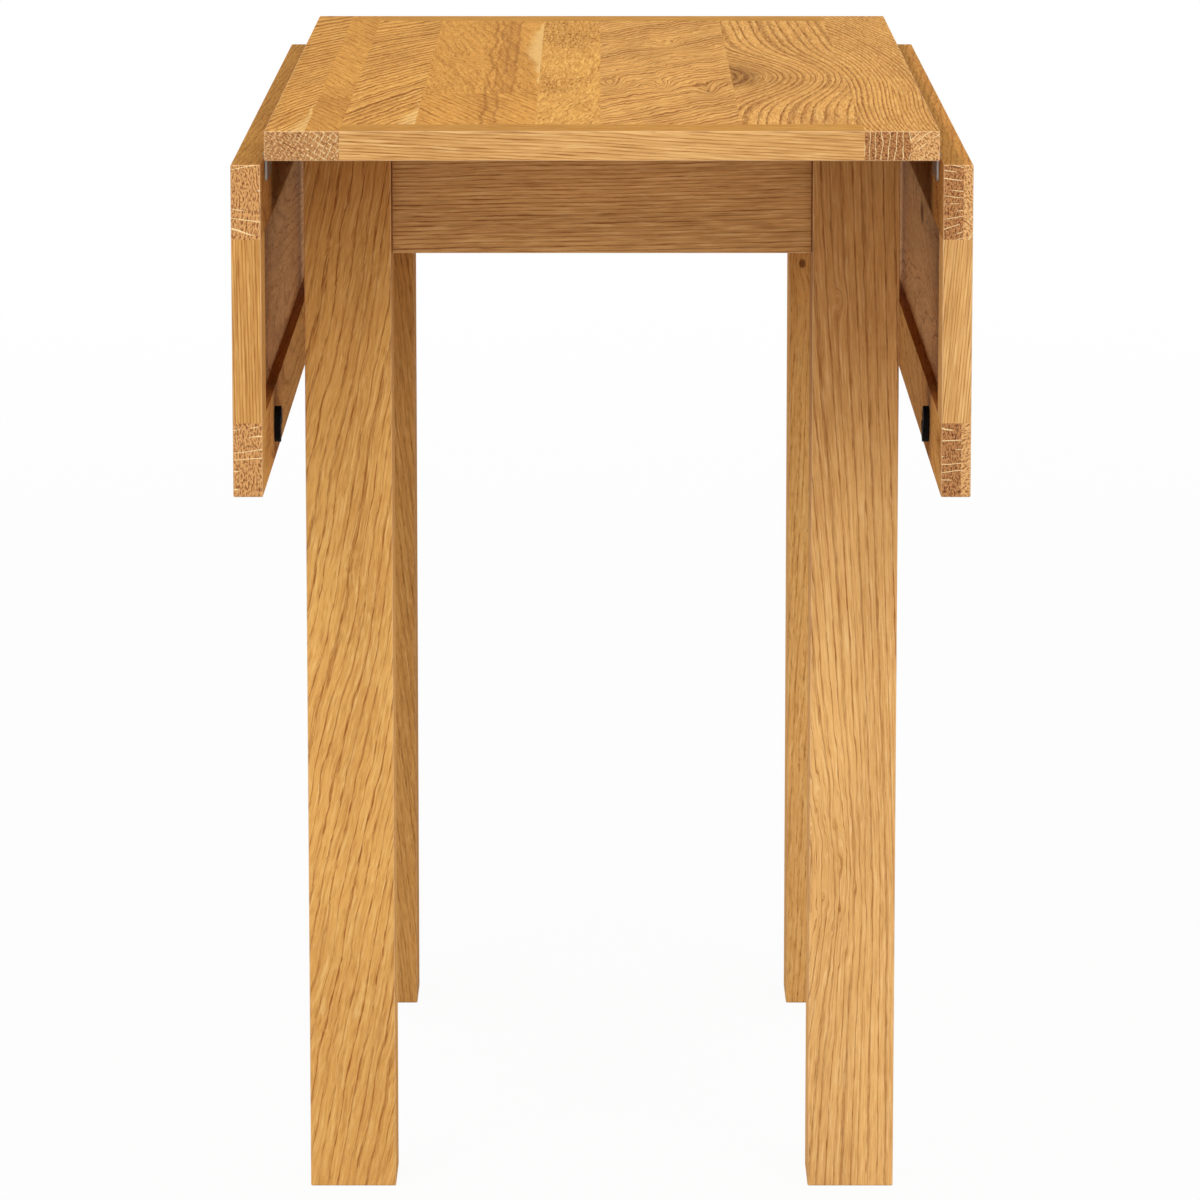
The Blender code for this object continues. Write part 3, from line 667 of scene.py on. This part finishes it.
# How the boards of the leaves were cut. The right leaf's stiles have an outer facing on a darker core. The
# stiles' upward faces take painted shade.
LEAF_RAIL_GRAIN = dict(
    ring=1.8, spring_share=0.4, contrast=0.9, broken=0.5, wave=0.6, pores=0.6, pore_length=26)
LEAF_CUTS = {
    "left": {
        # The hinge stile's top edge takes painted shade from the table top above it
        "hinge_stile": dict(
            heart=(20, -120), lean=(0.05, 0.04), ring=3.6, tone=RUSSET, rays=0.46, sun=TOP_SHADE_OCHRE, seed=41.2),
        # The rebate's upward step face takes painted shade
        "free_stile": dict(
            heart=(32, -110), lean=(0.08, 0.03), ring=3.8, tone=FAWN, rays=0.44, sun=REBATE_SHADE,
            seed=44.6),
        "front_rail": dict(heart=(-55, 60), lean=(0.0, -0.02), tone=FAWN, seed=47.3, **LEAF_RAIL_GRAIN),
        "back_rail": dict(heart=(60, 12), lean=(0.02, 0.03), tone=FAWN, seed=51.9, **LEAF_RAIL_GRAIN),
    },
    "right": {
        # The hinge stile's top edge takes painted shade from the table top above it
        "hinge_stile": dict(
            heart=(-20, 115), lean=(-0.05, 0.04), ring=3.5, tone=RUSSET, end_tone=END_DARK, sun=TOP_SHADE_OCHRE,
            seed=54.8),
        # The rebate's upward step face takes painted shade
        "free_stile": dict(
            heart=(30, 120), lean=(0.06, 0.03), ring=3.7, tone=FAWN, end_tone=END_DARK, sun=REBATE_SHADE,
            seed=57.1),
        "front_rail": dict(heart=(-60, 65), lean=(0.0, 0.09), tone=LINEN, seed=61.4, **LEAF_RAIL_GRAIN),
        "back_rail": dict(heart=(55, 14), lean=(0.02, 0.03), tone=LINEN, seed=64.7, **LEAF_RAIL_GRAIN),
    },
}
FACING = 0.0066
FACING_CUTS = {
    # The facing's upward face takes painted shade
    "leaf_right_hinge_stile": dict(
        heart=(90, 60), lean=(0.06, 0.0), ring=3.4, tone=TAWNY, end_tone=END_PALE, rays=0.34, sun=TOP_SHADE_GOLD,
        seed=66.3),
    "leaf_right_free_stile": dict(
        heart=(-80, 70), lean=(0.05, 0.0), ring=3.6, tone=FAWN, end_tone=END_PALE, rays=0.34, seed=68.2),
}
LEAF_STAVE_CUTS = {
    "left": [
        dict(heart=(12, -60), lean=(0.06, 0.03), ring=4.2, wave=5.0, tone=FLAX, seed=70.4),
        dict(heart=(-40, -70), lean=(-0.10, 0.02), ring=3.8, wave=4.0, contrast=0.6, tone=FLAX, seed=79.1),
        dict(heart=(5, -45), lean=(0.03, 0.05), ring=4.6, wave=6.0, tone=FLAX, seed=88.6),
    ],
    "right": [
        dict(heart=(-14, 60), lean=(-0.05, 0.03), ring=4.4, wave=5.0, tone=FLAX, seed=171.2),
        dict(heart=(36, 70), lean=(0.08, 0.02), ring=3.8, wave=4.0, contrast=0.6, tone=FLAX, seed=179.5),
        dict(
            heart=(-8, 50), lean=(0.03, 0.05), ring=4.6, wave=6.0, tone=FLAX, seed=188.3,
            knots=[Knot(-20, -10, 140, 55, bend=2, darkness=1)]),
    ],
}


def make_leaf(side):
    """A hanging leaf: its stiles, its end rails and a panel of staves that is recessed on the inner face."""
    body = f"{side}_leaf"
    leaf = f"leaf_{side}"
    whole = box_of(f"{leaf}_hinge_stile", f"{leaf}_free_stile")
    for board, cut in LEAF_CUTS[side].items():
        node = f"{leaf}_{board}"
        low, high = closed(*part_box(node), whole)
        along, across = (Z, Y) if board.endswith("rail") else (Y, Z)
        grooves = list(hinge_grooves(side)) if board == "hinge_stile" else ()
        face = high.x
        if node in FACING_CUTS:
            face = high.x - FACING
            outer = between(low, high, X, face, high.x)
            facing = FACING_CUTS[node]
            oak_board(f"{node}_facing", *outer, whole, along, across, body, "oak_leaf", node, facing)
        inner = between(low, high, X, low.x, face)
        oak_board(f"{node}_board", *inner, whole, along, across, body, "oak_leaf", node, cut, grooves)
    node = f"{leaf}_panel"
    low, high = closed(*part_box(node), whole)
    bare_low, bare_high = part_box(node)
    low.x, high.x = bare_low.x, bare_high.x
    cuts = LEAF_STAVE_CUTS[side]
    rise = (high.z - low.z) / len(cuts)
    for stave, cut in enumerate(cuts):
        part = between(low, high, Z, low.z + stave * rise, low.z + (stave + 1) * rise)
        oak_board(f"{leaf}_stave_{stave + 1}", *part, whole, Y, Z, body, "oak_panel", node, cut)


# How the legs and the aprons were cut. Painted shade darkens the upper legs, under the table top.
LEG_CUTS = {
    "front_left": dict(
        heart=(-200, -130), lean=(0.20, 0.0), ring=6.5, spring_share=0.18, contrast=1.0, broken=0.4,
        wave=12.0, wave_length=190, pores=0.6, pore_length=12,
        # The first darkening is painted shade under the table top, the others the wood's own tone
        tans=[ToneAndShade(190, 370, depth=0.48), ToneAndShade(60, -70, depth=0.10), ToneAndShade(-230, -310, depth=0.03)], seed=101.3),
    "front_right": dict(
        heart=(-110, -50), lean=(-0.03, 0.0), ring=7.0, spring_share=0.22, contrast=1.0, wave=4.0,
        wave_length=300, pores=0.5, pore_length=14, broken=0.3, tone=STRAW,
        # This darkening is painted shade under the table top
        tans=[ToneAndShade(-50, 330, depth=0.51)], seed=104.9,
        burls=[Burl(-140, -14, 90, 24, curl=8, strength=3.4)],
        knots=[
            Knot(-110, -36, 250, 46, bend=4, darkness=0),
            Knot(-150, -40, 80, 36, bend=3, darkness=0),
            Knot(259, -11, 8, 3.6, bend=1.1, darkness=0),
        ]),
    "back_left": dict(
        heart=(-55, -60), lean=(-0.12, 0.0), ring=4.4, contrast=0.7, wave=3.0, tone=TAWNY, seed=108.1),
    "back_right": dict(
        heart=(70, -60), lean=(0.05, 0.0), ring=4.6, contrast=0.8, wave=3.0, tone=WHEAT,
        # The first darkening is painted shade under the table top, the second the wood's own tone
        tans=[ToneAndShade(150, 300, depth=0.58), ToneAndShade(-120, -260, depth=0.17)], seed=111.8,
        burls=[Burl(-150, 0, 60, 20, curl=9, strength=4.0)],
        knots=[Knot(216, -20, 18, 13, bend=1.5, darkness=2)]),
}


def make_leg(corner):
    """A square leg, cut away between the aprons where its corner block and its bolt are."""
    node = f"leg_{corner}"
    low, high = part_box(node)
    axis = Vector(((low.x + high.x) / 2, (low.y + high.y) / 2, 0.0))
    inward = Vector((-math.copysign(1.0, axis.x), -math.copysign(1.0, axis.y), 0.0)).normalized()
    turn = Matrix.Rotation(math.atan2(inward.y, inward.x), 4, "Z")
    size = high.x - low.x
    flat_low = Vector((LEG_FLAT, -size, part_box("apron_front")[0].z))
    flat_high = Vector((LEG_FLAT + size, size, high.z + size))
    flat = plank(flat_low, flat_high, arris=0.0)
    flat.transform(Matrix.Translation(axis) @ turn)
    shape = carve(plank(low, high), flat)
    material = oak(f"{node}_oak", mid(low, high), Z, X, **LEG_CUTS[corner])
    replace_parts(piece_from(f"{node}_post", shape, material, "frame", "oak_leg"), node)


APRON_GRAIN = dict(
    ring=2.6, contrast=1.0, broken=0.6, wave=2.0, wave_length=200, pore_length=20, tone=BISCUIT)
APRON_CUTS = {
    "front": dict(heart=(-70, 20), lean=(0.02, 0.0), seed=121.7, **APRON_GRAIN),
    "back": dict(heart=(-60, 25), lean=(-0.02, 0.0), seed=124.2, **APRON_GRAIN),
    "left": dict(heart=(-60, 30), lean=(0.02, 0.0), seed=127.9, **APRON_GRAIN),
    "right": dict(heart=(-65, 25), lean=(0.01, 0.0), seed=131.3, **APRON_GRAIN),
}


def make_aprons():
    """Boards at the two ends. The side aprons keep their CAD shapes, with the notches for the bars."""
    for place, cut in APRON_CUTS.items():
        node = f"apron_{place}"
        low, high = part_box(node)
        if place in ENDS:
            oak_board(f"{node}_board", low, high, None, X, Z, "frame", "oak_apron", node, cut)
        else:
            dress(node, oak(f"{node}_oak", mid(low, high), Y, Z, **cut))


def rubber():
    """Black rubber with a fine grain."""
    material, shade, shader = new_finish("black_rubber_bumper")
    coords = shade.node("ShaderNodeTexCoord", {}, out="Object")
    grain = shade.noise([part / MM * RUBBER_GRAIN for part in coords.split()], 3.0)
    colour = grain.mix(*RUBBER_TONES)
    rough = grain * RUBBER_GRAIN_ROUGHNESS + RUBBER_ROUGHNESS
    feed(shader, Base_Color=colour, Roughness=rough, Normal=grain.bump(RUBBER_RELIEF, RUBBER_BUMP))
    shader["Specular IOR Level"].default_value = RUBBER_SPECULAR
    return material


def zinc():
    """Zinc-plated steel, with the faint cloudiness and scuffs of plating."""
    material, shade, shader = new_finish("zinc_plating")
    place = [part / MM for part in shade.node("ShaderNodeTexCoord", {}, out="Object").split()]
    cloud = shade.noise([part * ZINC_CLOUD for part in place], 3.0)
    scuff = shade.noise((place[X] * SCUFF_ACROSS, place[Y] * SCUFF_ALONG, place[Z] * SCUFF_ACROSS))
    colour = cloud.mix(*ZINC_TONES)
    rough = cloud * CLOUD_ROUGHNESS + scuff * SCUFF_ROUGHNESS + ZINC_ROUGHNESS
    feed(shader, Base_Color=colour, Roughness=rough, Normal=scuff.bump(ZINC_RELIEF, ZINC_BUMP))
    shader["Metallic"].default_value = 1.0
    return material


# How the parts under the top were cut. A part's seed grows with the length of its name.
BLOCK_CUT = dict(heart=(40, -50), ring=4.5, wave=2.0, contrast=0.6, pores=0.1, tone=PINE)
BAR_CUT = dict(heart=(30, -40), lean=(0.03, 0.02), ring=3.6, contrast=0.6, tone=STRAW)
PEG_CUT = dict(heart=(10, -12), ring=2.4, wave=0.6, contrast=0.5, pores=0.2, tone=BEECH)
GUIDE_CUT = dict(heart=(-50, 30), lean=(0.01, 0.0), ring=3.4, contrast=0.6, tone=STRAW, seed=170.0)
BLOCK_SEED, BAR_SEED, PEG_SEED = 140.0, 150.0, 160.0
BAR_SEED_STEP = 3


def make_hidden_parts():
    """Finishes for the parts under the top, which keep their CAD shapes."""
    for end in ENDS:
        for side in SIDES:
            block = f"corner_block_{end}_{side}"
            block_seed = BLOCK_SEED + len(block)
            dress(block, oak(f"{block}_pine", mid(*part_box(block)), X, Z, seed=block_seed, **BLOCK_CUT))
            bar = f"support_bar_{side}_{end}"
            bar_seed = BAR_SEED + BAR_SEED_STEP * len(bar)
            dress(bar, oak(f"{bar}_oak", mid(*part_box(bar)), X, Y, seed=bar_seed, **BAR_CUT))
            peg = f"stop_peg_{side}_{end}"
            peg_seed = PEG_SEED + len(peg)
            dress(peg, oak(f"{peg}_beech", mid(*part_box(peg)), Z, X, seed=peg_seed, **PEG_CUT))
    guide = "bar_guide_rail"
    dress(guide, oak(f"{guide}_oak", mid(*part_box(guide)), Y, Z, **GUIDE_CUT))


# Hinge screws, as the plates are drilled for them, and the bumpers' rims
SCREW_ROW = (-1, 0, 1)
PLATE_FACE = 0.0002
SCREW_HEAD_RADIUS = 0.0034
SCREW_NECK_RADIUS = 0.0019
SCREW_HEAD_DEPTH = 0.0013
RECESS_WIDTH = 0.0008
RECESS_REACH = 0.0019
RECESS_DEPTH = 0.0008
RECESS_EASE = 0.0001
SCREW_TURN, SCREW_TURN_STEP = 0.4, 0.9
BUMPER_EASE = 0.0004


def screw_head():
    """A countersunk head with a cross recess. Its face is at the origin, and it points up."""
    head = bmesh.new()
    bmesh.ops.create_cone(
        head, cap_ends=True, segments=ROUND_STEPS, depth=SCREW_HEAD_DEPTH,
        radius1=SCREW_HEAD_RADIUS, radius2=SCREW_NECK_RADIUS)
    bmesh.ops.translate(head, vec=(0.0, 0.0, SCREW_HEAD_DEPTH / 2), verts=head.verts)
    arms = []
    for reach_x, reach_y in ((RECESS_REACH, RECESS_WIDTH / 2), (RECESS_WIDTH / 2, RECESS_REACH)):
        low = Vector((-reach_x, -reach_y, -RECESS_DEPTH))
        high = Vector((reach_x, reach_y, RECESS_DEPTH))
        arms.append(plank(low, high, arris=RECESS_EASE))
    return carve(head, *arms)


def make_screws(side, end, plating):
    """Three screws in each plate of a hinge."""
    low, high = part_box(f"hinge_pin_{side}_{end}")
    pin = Matrix.Translation((low + high) / 2)
    pitch = (high.y - low.y) / len(SCREW_ROW)
    plate_low, plate_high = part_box(f"hinge_top_plate_{side}_{end}")
    across = SIDES[side] * (plate_high.x - plate_low.x) / 2
    head = screw_head()
    pattern = bpy.data.meshes.new("screw_pattern")
    head.to_mesh(pattern)
    head.free()
    raised = Matrix.Translation((-across, 0.0, PLATE_FACE))
    quarter_turn = Matrix.Rotation(SIDES[side] * math.pi / 2, 4, "Y")
    hung = quarter_turn @ Matrix.Translation((across, 0.0, PLATE_FACE))
    for plate, body, lie in (("top", "frame", raised), ("leaf", f"{side}_leaf", hung)):
        screws = bmesh.new()
        for place in SCREW_ROW:
            turn = Matrix.Rotation(place * SCREW_TURN_STEP + SCREW_TURN, 4, "Z")
            pattern_here = pattern.copy()
            pattern_here.transform(pin @ Matrix.Translation((0.0, place * pitch, 0.0)) @ lie @ turn)
            screws.from_mesh(pattern_here)
            bpy.data.meshes.remove(pattern_here)
        piece_from(f"hinge_{plate}_screws_{side}_{end}", screws, plating, body, "zinc_steel")
    bpy.data.meshes.remove(pattern)


def make_bumper(side, end, material):
    """A rubber disc with a barely eased rim."""
    node = f"bumper_{side}_{end}"
    low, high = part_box(node)
    reach = (high.x - low.x) / 2
    disc = rod((high.z - low.z) / 2, -reach, reach, (1.0, 0.0, 0.0), (low + high) / 2)
    rims = [edge for edge in disc.edges if edge.calc_face_angle(0.0) > FLAT_ANGLE]
    bmesh.ops.bevel(disc, geom=rims, offset=BUMPER_EASE, segments=ARRIS_STEPS, profile=0.5, affect="EDGES")
    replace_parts(piece_from(f"{node}_disc", disc, material, f"{side}_leaf", "black_rubber"), node)


def make_hardware():
    """The bolts, the hinges with their screws, and the bumpers."""
    plating = zinc()
    bumper = rubber()
    for end in ENDS:
        for side in SIDES:
            dress(f"leg_bolt_{end}_{side}", plating)
            for part in ("top_plate", "leaf_plate", "pin"):
                dress(f"hinge_{part}_{side}_{end}", plating)
            make_screws(side, end, plating)
            make_bumper(side, end, bumper)


# Studio: a white floor and surround, and two soft lamps
FLOOR_RADIUS = 8.0
FLOOR_STEPS = 96
FLOOR_DROP = 0.0003
FADE_FROM, FADE_TO = 1.5, 6.0
FLOOR_GLOW = 0.95
FLOOR_TONE = (0.61, 0.61, 0.61, 1.0)
AMBIENT = 0.94
LAMP_ASIDE, LAMP_FRONT, LAMP_HEIGHT = 1.8, -2.9, 4.1
LAMP_AIM = Vector((0.0, 0.0, 0.4))
LAMP_SIZE = 1.8
LAMP_WATTS = 48.0


def seen_directly(shade):
    """1 for the rays that show the surround itself: those of the camera, mirrors and glass."""
    path = [shade.node("ShaderNodeLightPath", {}, out=name) for name in (
        "Is Camera Ray", "Is Glossy Ray", "Is Transmission Ray")]
    return shade.math("MINIMUM", path[0] + path[1] + path[2], 1.0)


def make_surround():
    """A white world that lights the table a little less than it shows."""
    world = bpy.data.worlds.new("white_surround")
    world.use_nodes = True
    bpy.context.scene.world = world
    shade = Shade(world.node_tree)
    strength = seen_directly(shade) * (1 - AMBIENT) + AMBIENT
    world.node_tree.nodes["Background"].inputs["Color"].default_value = WHITE
    world.node_tree.links.new(strength.socket, world.node_tree.nodes["Background"].inputs["Strength"])


def make_floor():
    """A round white floor that keeps the table's shadow and fades out around it."""
    shape = bmesh.new()
    bmesh.ops.create_circle(shape, cap_ends=True, segments=FLOOR_STEPS, radius=FLOOR_RADIUS)
    bmesh.ops.translate(shape, vec=(0.0, 0.0, -FLOOR_DROP), verts=shape.verts)
    mesh = bpy.data.meshes.new("studio_floor")
    shape.to_mesh(mesh)
    shape.free()
    material, shade, _ = new_finish("pale_floor")
    nodes, links = material.node_tree.nodes, material.node_tree.links
    matt = shade.node("ShaderNodeBsdfDiffuse", {"Color": FLOOR_TONE})
    glow = shade.node("ShaderNodeEmission", {"Color": WHITE, "Strength": 1.0})
    clear = shade.node("ShaderNodeBsdfTransparent", {})
    pale = shade.node("ShaderNodeMixShader", {0: seen_directly(shade) * FLOOR_GLOW, 1: matt, 2: glow})
    coords = shade.node("ShaderNodeTexCoord", {}, out="Object")
    away = shade.node("ShaderNodeVectorMath", {0: coords}, {"operation": "LENGTH"}, "Value")
    faded = shade.node("ShaderNodeMixShader", {0: away.step(FADE_FROM, FADE_TO), 1: pale, 2: clear})
    links.new(faded.socket, nodes["Material Output"].inputs["Surface"])
    mesh.materials.append(material)
    floor = bpy.data.objects.new("studio_floor", mesh)
    bpy.context.scene.collection.objects.link(floor)


def make_lamp(side):
    """One of the two soft lamps in front of the table."""
    name = f"front_softbox_{side}"
    lamp = bpy.data.lights.new(name, "AREA")
    lamp.shape = "SQUARE"
    lamp.size = LAMP_SIZE
    lamp.energy = LAMP_WATTS
    holder = bpy.data.objects.new(name, lamp)
    holder.location = Vector((SIDES[side] * LAMP_ASIDE, LAMP_FRONT, LAMP_HEIGHT))
    holder.rotation_mode = "QUATERNION"
    holder.rotation_quaternion = (LAMP_AIM - holder.location).to_track_quat("-Z", "Y")
    bpy.context.scene.collection.objects.link(holder)


# Camera: a long lens in front of the table and a little above it, with both lens sizes in millimetres
LENS = 200.77
SENSOR = 36.0
CAMERA_PLACE = (-0.0013, -4.8882, 1.2143)
CAMERA_PITCH = math.radians(9.852)


def make_camera():
    """The camera that sees the table as the photograph does."""
    lens = bpy.data.cameras.new("camera")
    lens.lens = LENS
    lens.sensor_width = SENSOR
    camera = bpy.data.objects.new("camera", lens)
    camera.location = CAMERA_PLACE
    camera.rotation_euler = (math.pi / 2 - CAMERA_PITCH, 0.0, 0.0)
    bpy.context.scene.collection.objects.link(camera)
    bpy.context.scene.camera = camera


top_box = box_of("top_stile_left", "top_stile_right")
make_top_stiles(top_box)
make_top_rails(top_box)
make_top_panel(top_box)
for leaf_side in SIDES:
    make_leaf(leaf_side)
for leg in LEG_CUTS:
    make_leg(leg)
make_aprons()
make_hidden_parts()
make_hardware()
make_surround()
make_floor()
for lamp_side in SIDES:
    make_lamp(lamp_side)
make_camera()
bpy.context.scene.view_settings.view_transform = "Standard"
